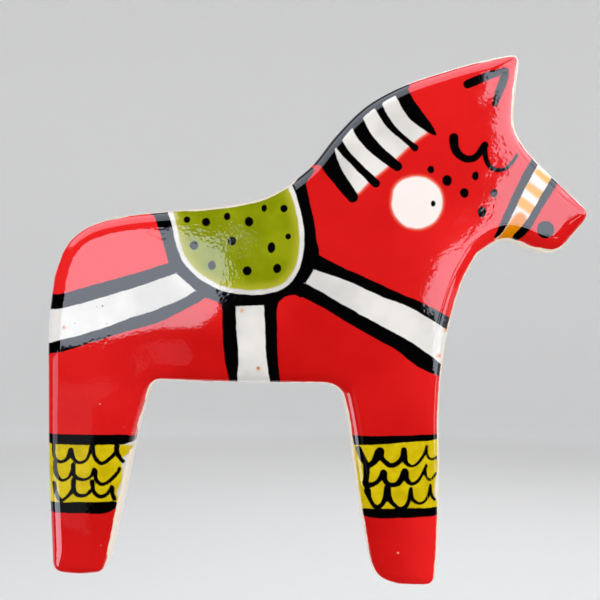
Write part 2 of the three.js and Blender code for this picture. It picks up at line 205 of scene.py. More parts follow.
SCALLOPS = [
    [(-24.7, -14.5, 0.4), (-24.6, -15.7, 0.35), (-24, -16.2, 0.3), (-23.3, -15.9, 0.4), (-22.95, -15, 0.5)],
    [(-22.9, -15, 0.5), (-22.6, -15.95, 0.4), (-22, -16.28, 0.3), (-21.3, -15.9, 0.3),
     (-20.85, -14.6, 0.45)],
    [(-20.75, -14.6, 0.5), (-20.55, -15.7, 0.4), (-19.9, -16.35, 0.4), (-19.2, -16, 0.38),
     (-18.5, -15.3, 0.4), (-18.3, -14.6, 0.5)],
    [(-18.4, -14.8, 0.5), (-18.2, -15.5, 0.42), (-17.8, -16.2, 0.4)],
    [(-24.55, -16.2, 0.45), (-24.45, -17.3, 0.5), (-23.9, -18.02, 0.3), (-23.2, -17.8, 0.3),
     (-22.75, -17.1, 0.5)],
    [(-22.7, -16.5, 0.5), (-22.65, -17.4, 0.45), (-22.2, -17.85, 0.4), (-21.5, -17.95, 0.3),
     (-20.9, -17.6, 0.3), (-20.6, -17, 0.5)],
    [(-20.5, -17.1, 0.5), (-20.4, -17.9, 0.42), (-19.9, -18.42, 0.4), (-19.2, -18.2, 0.38),
     (-18.3, -17.35, 0.38), (-18.1, -16.9, 0.38)],
    [(-24.65, -18.35, 0.5), (-24.4, -19.4, 0.5), (-23.9, -20.05, 0.4), (-23.3, -19.7, 0.3),
     (-22.8, -19.1, 0.45)],
    [(-22.65, -18, 0.5), (-22.6, -19.1, 0.5), (-22.1, -19.55, 0.4), (-21.4, -19.5, 0.3),
     (-20.95, -19.1, 0.4)],
    [(-20.8, -18.2, 0.5), (-20.6, -19.2, 0.42), (-20, -19.68, 0.4), (-19.3, -19.4, 0.38),
     (-18.85, -18.7, 0.42)],
    [(-18.8, -18.8, 0.42), (-18.8, -19.4, 0.4), (-18.65, -19.95, 0.38)],
    [(5.9, -14.9, 0.6), (6.2, -15.7, 0.65), (6.75, -16.5, 0.55), (7.35, -16.25, 0.6), (7.9, -15.3, 1)],
    [(8, -15.2, 1), (8.2, -15.85, 0.55), (8.9, -16.5, 0.55), (9.6, -16.42, 0.5), (10.25, -15.8, 0.6),
     (10.4, -15, 0.65)],
    [(10.4, -15.2, 0.65), (10.55, -16.2, 0.5), (11.2, -16.62, 0.3), (11.8, -16.3, 0.3), (12.4, -15.5, 0.3),
     (12.7, -14.6, 0.3)],
    [(12.65, -15, 0.3), (12.8, -15.7, 0.3), (13.2, -15.95, 0.3), (13.8, -15.8, 0.3)],
    [(6.65, -16.7, 0.7), (6.65, -17.7, 0.6), (6.6, -18.5, 0.6), (7.4, -18.38, 0.5), (8, -17.9, 0.55),
     (8.35, -17.3, 0.75)],
    [(8.35, -17.4, 0.75), (8.6, -18.2, 0.55), (9.2, -18.5, 0.5), (9.9, -18.25, 0.55), (10.5, -17.2, 0.8)],
    [(10.5, -17.2, 0.8), (10.7, -18, 0.55), (11.2, -18.4, 0.4), (11.8, -18.1, 0.35), (12.35, -17.2, 0.35),
     (12.65, -16.5, 0.3)],
    [(12.5, -16.9, 0.35), (12.65, -17.7, 0.3), (13.05, -18, 0.3), (13.65, -17.4, 0.3)],
    [(6.75, -19.1, 0.7), (7, -19.9, 0.45), (7.5, -20.65, 0.45), (8.1, -20.55, 0.5), (8.55, -19.7, 0.6),
     (8.75, -18.8, 0.7)],
    [(8.75, -18.9, 0.7), (8.95, -19.9, 0.6), (9.6, -20.65, 0.4), (10.2, -20.9, 0.45), (10.8, -20.3, 0.4),
     (11.1, -18.9, 0.4)],
    [(11.1, -18.9, 0.4), (11.25, -19.9, 0.4), (11.9, -20.35, 0.3), (12.5, -20.1, 0.3), (12.95, -19.2, 0.35),
     (13.05, -18.5, 0.3)],
    [(13.05, -18.7, 0.3), (13.2, -19.6, 0.3), (13.55, -20.05, 0.3)],
]
# How much of the rounded edge is left bare, at places round the outline: (u, v, bare width). Below zero,
# the paint runs that far down the wall.
BARE_RIM = [
    (-25.3, -8, -0.2), (-25.2, -18, -0.2), (-25.3, 0, 0), (-24, 5, 0.15), (-20, 8, 0.22), (-15, 8.8, 0.15),
    (-8, 9.4, 0.3), (-2, 11, 0.3), (1, 13.4, 0), (5, 18.1, -0.3), (9, 20.9, -0.3), (12, 22, 0.1),
    (16, 23.4, 0.15), (20, 24.4, 0.25), (21.9, 24.3, 0.35), (21.6, 21, 0.4), (21.6, 18, 0.38),
    (23, 15, 0.25), (26, 12, 0.08), (28.8, 9, 0.25), (27.5, 6.6, 0.22), (25.4, 4.7, 0.3), (22.5, 5.6, 0.1),
    (19.5, 5.8, 0.15), (17.5, 4, 0.25), (16, 0.5, 0.22), (14.6, -5, 0.25), (14.1, -15, 0.28),
    (14, -24, 0.28), (13.5, -28.5, 0.3), (10, -28.7, 0.18), (7.4, -27, 0.15), (6, -20, 0.22),
    (4.8, -12, 0.22), (3.5, -8.6, 0.15), (-5, -8.3, 0.08), (-14.5, -8.2, 0.15), (-16.3, -12.4, 0.02),
    (-16.7, -14, -1.5), (-17.1, -15.6, 0.1), (-17.7, -18, 0.2), (-18.4, -21.5, 0.24), (-19, -24.2, 0.2),
    (-19.8, -27, 0.1), (-23, -27.7, 0.05), (-25, -27, 0),
]

# How light the red is, from 0 to 1, at places on the horse: (u, v, lightness). This is painted shading: the
# red is lighter on the rump and other places that catch the light, and darker on the belly.
RED_SHADING_EASE = 40
RED_SHADING = [
    (-20, 6, 1), (-14, 4, 1), (-22, -8, 0.6), (-16, -6, 0.4), (-20, -13, 0.55), (-9, -6, 0.15),
    (-4, -7, 0.1), (4, -6, 0.2), (7, -3, 0.3), (5, 8, 0.4), (12, 3, 0.45), (14, 15, 0.45), (14, 20.5, 0.6),
    (20, 18, 0.5), (26, 8, 0.35), (9, -11, 0.3), (13, -9, 0.6), (-21, -24, 0.35), (9, -25, 0.15),
    (12.6, -25, 0.9), (16, 3, 0.9), (-7, 0, 0.7),
]

# ---------------- drawing helpers


def spline(points, closed, steps=5):
    """A Catmull-Rom curve through the points, columns and all."""
    p = np.array(points, float)
    before, after = (p[-1:], p[:2]) if closed else (p[:1], p[-1:])
    p = np.concatenate([before, p, after])
    a, b, c, d = p[:-3], p[1:-2], p[2:-1], p[3:]
    t = (np.arange(steps) / steps)[:, None, None]
    square = (2 * a - 5 * b + 4 * c - d) * t**2
    cube = (3 * b - a - 3 * c + d) * t**3
    spans = 0.5 * (2 * b + (c - a) * t + square + cube)
    curve = spans.transpose(1, 0, 2).reshape(-1, p.shape[1])
    return curve if closed else np.concatenate([curve, p[-1:]])


def nearest_on_segments(points, a, b):
    """Each point's distance to its nearest segment, with that segment's index and how far along it."""
    best = np.full(len(points), np.inf)
    which = np.zeros(len(points), int)
    along = np.zeros(len(points))
    for i in range(len(a)):
        ab = b[i] - a[i]
        t = np.clip((points - a[i]) @ ab / max(ab @ ab, 1e-12), 0, 1)
        d = np.hypot(*(points - a[i] - t[:, None] * ab).T)
        closer = d < best
        best[closer] = d[closer]
        which[closer] = i
        along[closer] = t[closer]
    return best, which, along


def to_ring(points, ring):
    """Each point's distance to the closed ring."""
    return nearest_on_segments(points, ring, np.roll(ring, -1, axis=0))[0]


def inside(points, ring):
    """True for each point inside the closed ring."""
    odd = np.zeros(len(points), bool)
    for a, b in zip(ring, np.roll(ring, -1, axis=0)):
        spans = (a[1] > points[:, 1]) != (b[1] > points[:, 1])
        x = a[0] + (points[:, 1] - a[1]) * (b[0] - a[0]) / (b[1] - a[1] + 1e-15)
        odd ^= spans & (points[:, 0] < x)
    return odd


def near(points, shape, margin=1.2):
    """Which points are close enough to a shape for its distance to matter."""
    low, high = shape[:, :2].min(0) - margin, shape[:, :2].max(0) + margin
    return np.all((points > low) & (points < high), axis=1)


FAR = 9.0  # a field's value well away from its shape


def area_field(points, outline, smooth=True):
    """Signed distance to an outline, negative inside."""
    ring = spline(outline, closed=True) if smooth else np.array(outline, float)
    field = np.full(len(points), FAR)
    m = near(points, ring)
    d = to_ring(points[m], ring)
    field[m] = np.where(inside(points[m], ring), -d, d)
    return field


def stroke_field(points, stroke):
    """Signed distance to a brush stroke whose width changes along it."""
    line = spline(stroke, closed=False)
    field = np.full(len(points), FAR)
    m = near(points, line)
    d, i, t = nearest_on_segments(points[m], line[:-1, :2], line[1:, :2])
    half = np.maximum(line[i, 2] * (1 - t) + line[i + 1, 2] * t, 0.02) / 2
    field[m] = d - half
    return field


def dot_field(points, u, v, width, height):
    """Signed distance to a dabbed dot, near enough to an ellipse."""
    scaled = (points - (u, v)) / (width / 2, height / 2)
    return (np.hypot(*scaled.T) - 1) * min(width, height) / 2


def union(fields):
    return np.minimum.reduce(list(fields))


def spots(points, places):
    """Signed distance to round spots at the (u, v, radius) places."""
    return union([dot_field(points, u, v, 2 * radius, 2 * radius) for u, v, radius in places])


def paint_fields(points):
    """Every paint's signed distance at the points, in millimetres."""
    saddle = area_field(points, SADDLE)
    whites = [area_field(points, a) for a in (REAR_STRAP_WHITE, FRONT_STRAP_WHITE, GIRTH_WHITE)]
    black_areas = (BLACK_ROUND_SADDLE, REAR_STRAP_BLACK, FRONT_STRAP_BLACK, GIRTH_BLACK)
    blacks = [area_field(points, a) for a in black_areas]
    harness = np.maximum(union(blacks), -union([saddle, *whites]))
    strokes = [stroke_field(points, s) for s in [*STROKES.values(), *SCALLOPS]]
    dots = [dot_field(points, *d) for d in SADDLE_DOTS + FACE_DOTS]
    bare = [area_field(points, a) for a in (EYE, MANE_WHITE, BRIDLE_CREAM)]
    bands = [area_field(points, a, smooth=False) for a in (HIND_BAND, FORE_BAND)]
    under_black = union([saddle, *whites]) - UNDERLAP
    return {
        "black": union([harness, *strokes, *dots]),
        "red": -union([under_black, *bare, *bands]),
        "green": saddle + SADDLE_BORDER,
        "yellow": union([area_field(points, a) for a in (HIND_YELLOW, FORE_YELLOW)]),
        "orange": union([stroke_field(points, s) for s in ORANGE_PATCHES]),
        "amber": union([stroke_field(points, AMBER_PATCH), spots(points, STRAP_AMBER)]),
        "speck": spots(points, SPECKS),
        # The pits' painted highlights.
        "pit_glint": spots(points, PIT_GLINTS),
        "eye": area_field(points, EYE),
    }


def blended(points, places, ease=0.01):
    """A value at each point, blended from the (u, v, value) places. A larger ease blends them further."""
    total = np.zeros(len(points))
    weight = np.zeros(len(points))
    for u, v, value in places:
        w = 1 / (np.hypot(points[:, 0] - u, points[:, 1] - v) ** 4 + ease)
        total += w * value
        weight += w
    return total / weight


# ---------------- meshes


def with_y(xz, y):
    """Points in space, from their (x, z) and their y."""
    return np.insert(xz, 1, y, axis=1)


def mesh_object(name, vertices, faces, smooth=True):
    """A mesh from points in millimetres."""
    mesh = bpy.data.meshes.new(name)
    mesh.from_pydata((np.asarray(vertices, float) * MM).tolist(), [], faces)
    mesh.update()
    if smooth:
        mesh.shade_smooth()
    made = bpy.data.objects.new(name, mesh)
    bpy.context.scene.collection.objects.link(made)
    return made


def strips(ring_count, sides, start=0):
    """Quads that join rings of points, each ring to the next. The points are numbered from start."""
    faces = []
    for a in range(start, start + (ring_count - 1) * sides, sides):
        for i in range(sides):
            j = (i + 1) % sides
            faces.append([a + i, a + j, a + sides + j, a + sides + i])
    return faces


def turned_over(faces):
    """The faces with their other side out."""
    return [[f[0], *f[:0:-1]] for f in faces]


def cad_outline():
    """The slab's widest section as a ring of (x, z), in millimetres, anticlockwise from the front."""
    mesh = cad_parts["ceramic_horse"].data
    co = np.array([v.co for v in mesh.vertices]) / MM
    level = BACK - BACK_CHAMFER
    key = [tuple(np.round(c, 3)) for c in co]
    links = {}
    for e in mesh.edges:
        a, b = e.vertices
        if abs(co[a, 1] - level) < 1e-3 and abs(co[b, 1] - level) < 1e-3 and key[a] != key[b]:
            links.setdefault(key[a], set()).add(key[b])
            links.setdefault(key[b], set()).add(key[a])
    start = min(links)
    ring = [start, min(links[start])]
    while ring[-1] != start:
        ring += links[ring[-1]] - {ring[-2]}
    points = np.array([(x, z) for x, _, z in ring[:-1]])
    area = np.sum(points[:, 0] * np.roll(points[:, 1], -1) - points[:, 1] * np.roll(points[:, 0], -1))
    return points if area > 0 else points[::-1]


def resampled(ring, step):
    """The ring with even spacing, its facets smoothed away."""
    closed = np.vstack([ring, ring[:1]])
    run = np.concatenate([[0], np.cumsum(np.hypot(*np.diff(closed, axis=0).T))])
    count = int(round(run[-1] / step))
    at = np.arange(count) * run[-1] / count
    even = np.stack([np.interp(at, run, closed[:, k]) for k in (0, 1)], axis=1)
    kernel = np.array([1, 4, 6, 4, 1]) / 16
    return sum(w * np.roll(even, k - 2, axis=0) for k, w in enumerate(kernel))


def inward(ring):
    step = np.roll(ring, -1, axis=0) - np.roll(ring, 1, axis=0)
    normal = np.stack([-step[:, 1], step[:, 0]], axis=1)
    return normal / np.hypot(*normal.T)[:, None]


def reach(ring, normals):
    """How far the edge's rounding reaches in at each point: less in a tight corner."""
    across = ring[None] - ring[:, None]
    depth = np.einsum("ijk,ik->ij", across, normals)
    radius = np.where(depth > 1e-6, np.sum(across**2, axis=2) / (2 * np.maximum(depth, 1e-9)), np.inf)
    room = CORNER_FILL * radius.min(axis=1)
    eased = room[None] + CORNER_EASE * np.hypot(across[..., 0], across[..., 1])
    return np.minimum(FRONT_ROUNDING, eased.min(axis=1))


LATTICE = 128


def value_noise(points, size, seed):
    """Smooth noise from -1 to 1 with features of about that size, in millimetres."""
    lattice = np.random.default_rng(seed).uniform(-1, 1, (LATTICE, LATTICE))
    p = points / size
    i = np.floor(p).astype(int)
    f = p - i
    f = f * f * f * (f * (f * 6 - 15) + 10)

    def corner(a, b):
        return lattice[(i[:, 0] + a) % LATTICE, (i[:, 1] + b) % LATTICE]

    low = corner(0, 0) * (1 - f[:, 0]) + corner(1, 0) * f[:, 0]
    high = corner(0, 1) * (1 - f[:, 0]) + corner(1, 1) * f[:, 0]
    return low * (1 - f[:, 1]) + high * f[:, 1]


WAVES = ((9.0, 0.04), (3.6, 0.009), (1.7, 0.003))  # the glazed face's unevenness: feature size, height
WAVE_SEED = 11


def relief(points, depth):
    """How far the face stands out from the flat, in millimetres, at a distance in from the edge."""
    rise = CROWN * (1 - np.exp(-np.maximum(depth - FRONT_ROUNDING, 0) / CROWN_EASE))
    fade = np.clip(depth / FRONT_ROUNDING, 0, 1) ** 2
    for k, (size, height) in enumerate(WAVES):
        rise = rise + fade * height * value_noise(points, size, WAVE_SEED + k)
    return rise


def filled(ring, cell):
    """A flat face inside the ring: even square cells, joined to the ring by triangles."""
    low, high = ring.min(0), ring.max(0)
    counts = np.floor((high - low) / cell).astype(int) + 1
    columns, rows = (low[k] + cell * np.arange(counts[k]) for k in (0, 1))
    gx, gz = np.meshgrid(columns, rows, indexing="ij")
    grid = np.stack([gx.ravel(), gz.ravel()], axis=1)
    deep = inside(grid, ring)
    keep = deep.copy()
    keep[deep] = to_ring(grid[deep], ring) > CELL_CLEARANCE * cell
    kept = keep.reshape(counts)
    cells = kept[:-1, :-1] & kept[1:, :-1] & kept[:-1, 1:] & kept[1:, 1:]
    used = np.zeros_like(kept)
    for a, b in ((0, 0), (1, 0), (0, 1), (1, 1)):
        used[a : a + cells.shape[0], b : b + cells.shape[1]] |= cells
    index = np.full(counts, -1)
    index[used] = np.arange(used.sum())
    points = grid[used.ravel()]
    i, j = np.nonzero(cells)
    quads = np.stack([index[i, j], index[i + 1, j], index[i + 1, j + 1], index[i, j + 1]], axis=1)
    ends = {}
    for a, b in np.concatenate([quads[:, [k, (k + 1) % 4]] for k in range(4)]).tolist():
        if (b, a) in ends:
            del ends[(b, a)]
        else:
            ends[(a, b)] = True
    rim = sorted({k for pair in ends for k in pair})
    local = {k: len(ring) + n for n, k in enumerate(rim)}
    flat = [Vector(p) for p in ring.tolist()] + [Vector(p) for p in points[rim].tolist()]
    edges = [(n, (n + 1) % len(ring)) for n in range(len(ring))] + [(local[a], local[b]) for a, b in ends]
    verts, _, tris, origins, _, _ = delaunay_2d_cdt(flat, edges, [], 0, 1e-7)
    middle = np.array([[sum(verts[k][c] for k in t) / 3 for c in (0, 1)] for t in tris])
    inner = np.floor((middle - low) / cell).astype(int).clip(0, np.array(cells.shape) - 1)
    in_cell = cells[inner[:, 0], inner[:, 1]]
    wanted = inside(middle, ring) & ~in_cell
    source = [o[0] for o in origins]
    back = {n: len(ring) + k for k, n in local.items()}

    def number(k):
        return source[k] if source[k] < len(ring) else back[source[k]]

    band = [[number(k) for k in t] for t, w in zip(tris, wanted) if w]
    return points, [[q + len(ring) for q in quad] for quad in quads.tolist()], band


def counterclockwise(faces, xz):
    """The faces turned to run anticlockwise in (x, z)."""
    turned = []
    for f in faces:
        a, b, c = (xz[k] for k in f[:3])
        area = (b[0] - a[0]) * (c[1] - a[1]) - (b[1] - a[1]) * (c[0] - a[0])
        turned.append(f if area > 0 else f[::-1])
    return turned


OUTLINE = resampled(cad_outline(), OUTLINE_STEP)


def glazed_slab():
    """The horse: a flat back, an upright wall, a rounded glazed edge and a gently uneven painted face."""
    ring = OUTLINE
    normals = inward(ring)
    room = reach(ring, normals)
    rings = []  # each one's points, their depths, and how far in from the outline: below zero on the wall
    for k in range(WALL_RINGS + 1):
        share = k / WALL_RINGS
        inset = BACK_CHAMFER * (1 - min(share / BACK_EDGE, 1)) ** 2 * room / FRONT_ROUNDING
        level = np.full(len(ring), BACK - share * (BACK - FRONT - FRONT_ROUNDING))
        rings.append((ring + normals * inset[:, None], level, FRONT + FRONT_ROUNDING - level))
    for k in range(1, ROUNDING_RINGS + 1):
        turn = k / ROUNDING_RINGS * math.pi / 2
        moved = room * (1 - math.cos(turn))
        level = np.full(len(ring), FRONT + FRONT_ROUNDING * (1 - math.sin(turn)))
        rings.append((ring + normals * moved[:, None], level, moved))
    count = len(ring)
    face_points, face_quads, face_band = filled(rings[-1][0], CELL)
    back_points, back_quads, back_band = filled(rings[0][0], BACK_CELL)

    depth = to_ring(face_points, ring)
    xz = np.concatenate([r[0] for r in rings] + [face_points, back_points])
    flats = [np.full(len(face_points), FRONT), np.full(len(back_points), BACK)]
    y = np.concatenate([r[1] for r in rings] + flats)
    edge = np.concatenate([r[2] for r in rings] + [depth, np.full(len(back_points), -FAR)])
    glazed = slice((WALL_RINGS + 1) * count, len(rings) * count + len(face_points))
    y[glazed] -= relief(xz[glazed], edge[glazed]) - CROWN

    faces = strips(len(rings), count)
    front_start = (len(rings) - 1) * count
    back_start = len(rings) * count + len(face_points)
    front_faces = [[k + front_start for k in f] for f in face_quads + face_band]
    back_faces = [[k if k < count else k - count + back_start for k in f] for f in back_quads + back_band]
    faces += counterclockwise(front_faces, xz)
    faces += [f[::-1] for f in counterclockwise(back_faces, xz)]
    made = mesh_object("painted_horse", with_y(xz, y), faces)

    drawing = xz - (ORIGIN_X, ORIGIN_Z)
    fields = paint_fields(drawing)
    fields["rim"] = edge - blended(drawing, BARE_RIM)
    # The red's painted shading, lighter where the light falls and darker on the belly, blended from its
    # table.
    fields["thin"] = blended(drawing, RED_SHADING, RED_SHADING_EASE)
    for name, values in fields.items():
        attribute = made.data.attributes.new(name, "FLOAT", "POINT")
        attribute.data.foreach_set("value", values.astype(np.float32))
    return made


GLUE_MARGIN = 0.8  # how far the glue has squeezed out past the bar, on average
GLUE_UNEVEN = 0.34  # how far its edge wanders in long waves
GLUE_FRAY = 0.12  # and in short ones
GLUE_CLIMB = 0.42  # how far it has crept up the bar's side, on average
GLUE_CLIMB_UNEVEN = 0.3  # as a share of the climb
GLUE_FOOT = 0.25  # the height of the bead's rounded outer part
GLUE_UNDER_BAR = (1.2, 0.15)  # how far in from the bar's edge its hidden top rings lie
GLUE_STEPS = 220
BEAD_RINGS = (-0.06, 0, 0.12, 0.25, 0.4, 0.55, 0.7, 0.82, 0.91, 0.97, 1)  # shares of the bead's width
NOISE_PLACE = 40  # which part of the noise the bed takes

BUTTON_RADIUS = 1.5  # the glue that has risen through the bar's holes
BUTTON_HEIGHT = 0.36
BUTTON_WALL = 0.05  # how high its edge stands before it rounds over
BUTTON_UNEVEN = 0.09
BUTTON_AT = (-5.5, 5.5)
BUTTON_SIDES = 40
SUNK = 0.03  # how far the glue reaches into what it sticks to, so that no gap shows


def glue_bed(bar_low, bar_high):
    """The points and faces of the glue under the bar, with an uneven bead round the bar."""
    end = (bar_high[2] - bar_low[2]) / 2
    spine = (bar_high[0] - bar_low[0]) / 2 - end
    bed = bar_low[1] - BACK
    # Steps go round both ends and along both sides: how far, the angle outward, the place along the spine.
    half_turn = math.pi * end
    run = 2 * half_turn + 4 * spine
    corners = [
        (0, -math.pi / 2, spine),
        (half_turn, math.pi / 2, spine),
        (half_turn + 2 * spine, math.pi / 2, -spine),
        (2 * half_turn + 2 * spine, 3 * math.pi / 2, -spine),
        (run, 3 * math.pi / 2, spine),
    ]
    travelled, angles, places = zip(*corners)
    at = np.arange(GLUE_STEPS) / GLUE_STEPS * run
    turn = np.interp(at, travelled, angles)
    outward = np.stack([np.cos(turn), np.sin(turn)], axis=1)
    spine_points = np.stack([np.interp(at, travelled, places), np.zeros(GLUE_STEPS)], axis=1)
    bar_edge = spine_points + outward * end

    wander = bar_edge + NOISE_PLACE
    margin = GLUE_MARGIN + GLUE_UNEVEN * value_noise(wander, size=3.4, seed=21)
    margin = margin + GLUE_FRAY * value_noise(wander, size=1.3, seed=22)
    climb = GLUE_CLIMB * (1 + GLUE_CLIMB_UNEVEN * value_noise(wander, size=2.6, seed=23))
    top = np.full(GLUE_STEPS, bed + SUNK)
    rings = [(spine_points + outward * (end - inset), top) for inset in GLUE_UNDER_BAR]
    for share in BEAD_RINGS:
        past = max(share, 0)
        height = (bed + climb - GLUE_FOOT) * (1 - past) ** 2 + GLUE_FOOT * math.sqrt(1 - past**2)
        rings.append((bar_edge + outward * (margin * share)[:, None], height))
    rings.append((bar_edge + outward * margin[:, None], np.full(GLUE_STEPS, -SUNK)))
    vertices = [(x, BACK + h, z) for place, height in rings for (x, z), h in zip(place, height)]
    faces = strips(len(rings), GLUE_STEPS)
    faces.append(list(range(GLUE_STEPS))[::-1])
    faces.append([(len(rings) - 1) * GLUE_STEPS + i for i in range(GLUE_STEPS)])
    return vertices, faces


def glue_button(number, centre, bar_top):
    """The points and faces of the low dome of glue over one of the bar's holes."""
    levels = [(0.35, -SUNK), (0.7, -SUNK), (1, -SUNK), (1, BUTTON_WALL)]
    for turn in np.linspace(0.15, 1.45, 7):
        rise = (BUTTON_HEIGHT - BUTTON_WALL) * math.sin(turn) ** 0.9
        levels.append((math.cos(turn), BUTTON_WALL + rise))
    angle = np.arange(BUTTON_SIDES) / BUTTON_SIDES * 2 * math.pi
    around = np.stack([np.cos(angle), np.sin(angle)], axis=1)
    wander = around * 2 + 30 + 9 * number  # each button takes its own part of the noise
    radius = BUTTON_RADIUS * (1 + BUTTON_UNEVEN * value_noise(wander, size=1.1, seed=24))
    vertices = []
    for share, height in levels:
        for (across, up), r in zip(around, radius):
            vertices.append((centre + across * r * share, bar_top + height, up * r * share))
    faces = turned_over(strips(len(levels), BUTTON_SIDES))
    faces.append(list(range(BUTTON_SIDES)))
    faces.append([(len(levels) - 1) * BUTTON_SIDES + i for i in range(BUTTON_SIDES)][::-1])
    return vertices, faces


def glue():
    """The glue that holds the bar on: its bed, and a button through each of the bar's holes."""
    bar_low, bar_high = (np.array(corner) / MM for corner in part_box("back_bar"))
    vertices, faces = glue_bed(bar_low, bar_high)
    for number, centre in enumerate(BUTTON_AT):
        button_vertices, button_faces = glue_button(number, centre, bar_high[1])
        faces += [[k + len(vertices) for k in f] for f in button_faces]
        vertices += button_vertices
    return mesh_object("glue_squeeze", vertices, faces)


# ---------------- materials


class Nodes:
    """A short way to write a material's node tree."""

    def __init__(self, name):
        self.material = bpy.data.materials.new(name)
        self.material.use_nodes = True
        self.tree = self.material.node_tree
        self.surface = self.tree.nodes["Principled BSDF"]

    def add(self, kind, **settings):
        node = self.tree.nodes.new(kind)
        for key, value in settings.items():
            setattr(node, key, value)
        return node

    def feed(self, socket, value):
        if isinstance(value, bpy.types.NodeSocket):
            self.tree.links.new(value, socket)
        else:
            socket.default_value = value

    def set(self, socket, value):
        self.feed(self.surface.inputs[socket], value)

    def attribute(self, name):
        return self.add("ShaderNodeAttribute", attribute_name=name).outputs["Fac"]

    def math(self, operation, a, b=0.0, c=0.0):
        node = self.add("ShaderNodeMath", operation=operation)
        for socket, value in zip(node.inputs, (a, b, c)):
            self.feed(socket, value)
        return node.outputs[0]

    def shaken(self, value, noise, amount):
        """The value, wavering with the noise by up to half that amount."""
        return self.math("MULTIPLY_ADD", self.math("SUBTRACT", noise, 0.5), amount, value)

    def noise(self, size, detail=2.0, roughness=0.5, stretch=None):
        """Noise from 0 to 1 with features of about that size, in millimetres, stretched along each axis."""
        place = self.add("ShaderNodeTexCoord").outputs["Object"]
        if stretch:
            drawn = self.add("ShaderNodeMapping")
            self.feed(drawn.inputs["Vector"], place)
            drawn.inputs["Scale"].default_value = [1 / s for s in stretch]
            place = drawn.outputs["Vector"]
        node = self.add("ShaderNodeTexNoise")
        self.feed(node.inputs["Vector"], place)
        node.inputs["Scale"].default_value = 1 / (size * MM)
        node.inputs["Detail"].default_value = detail
        node.inputs["Roughness"].default_value = roughness
        return node.outputs["Fac"]

    def ramp(self, value, low, high, out_low=0.0, out_high=1.0, smooth=True):
        """A number from out_low to out_high as the value goes from low to high."""
        node = self.add("ShaderNodeMapRange", interpolation_type="SMOOTHSTEP" if smooth else "LINEAR")
        for socket, number in zip(node.inputs, (value, low, high, out_low, out_high)):
            self.feed(socket, number)
        return node.outputs["Result"]

    def mix(self, share, below, above):
        """The colour above over the colour below, by that share."""
        node = self.add("ShaderNodeMix", data_type="RGBA")
        self.feed(node.inputs["Factor"], share)
        self.feed(node.inputs["A"], below)
        self.feed(node.inputs["B"], above)
        return node.outputs["Result"]

    def bump(self, *layers):
        """Bumps from (height field, height in millimetres) pairs."""
        total = None
        for field, height in layers:
            part = self.math("MULTIPLY", field, height)
            total = part if total is None else self.math("ADD", total, part)
        node = self.add("ShaderNodeBump")
        node.inputs["Strength"].default_value = 1
        node.inputs["Distance"].default_value = MM
        self.feed(node.inputs["Height"], total)
        self.set("Normal", node.outputs["Normal"])


def rgb(red, green, blue):
    """A display colour, 0 to 255, as linear light."""
    linear = [((c / 255 + 0.055) / 1.055) ** 2.4 if c > 10 else c / 255 / 12.92 for c in (red, green, blue)]
    return (*linear, 1)


GLAZE_ROUGHNESS = 0.035
GLAZE_IOR = 1.52
GLAZE_GRAIN = 0.0017  # the height of its finest texture
GLAZE_SWELL = 0.0014  # and of its slower ripples
CLAY_ROUGHNESS = 0.75
CLAY_TOOTH = 0.05
BARE_FROM = -3.9  # the rim field's value where the wall's glaze starts to give way to bare clay
BARE_TO = -5.0  # and where only clay is left, on the back


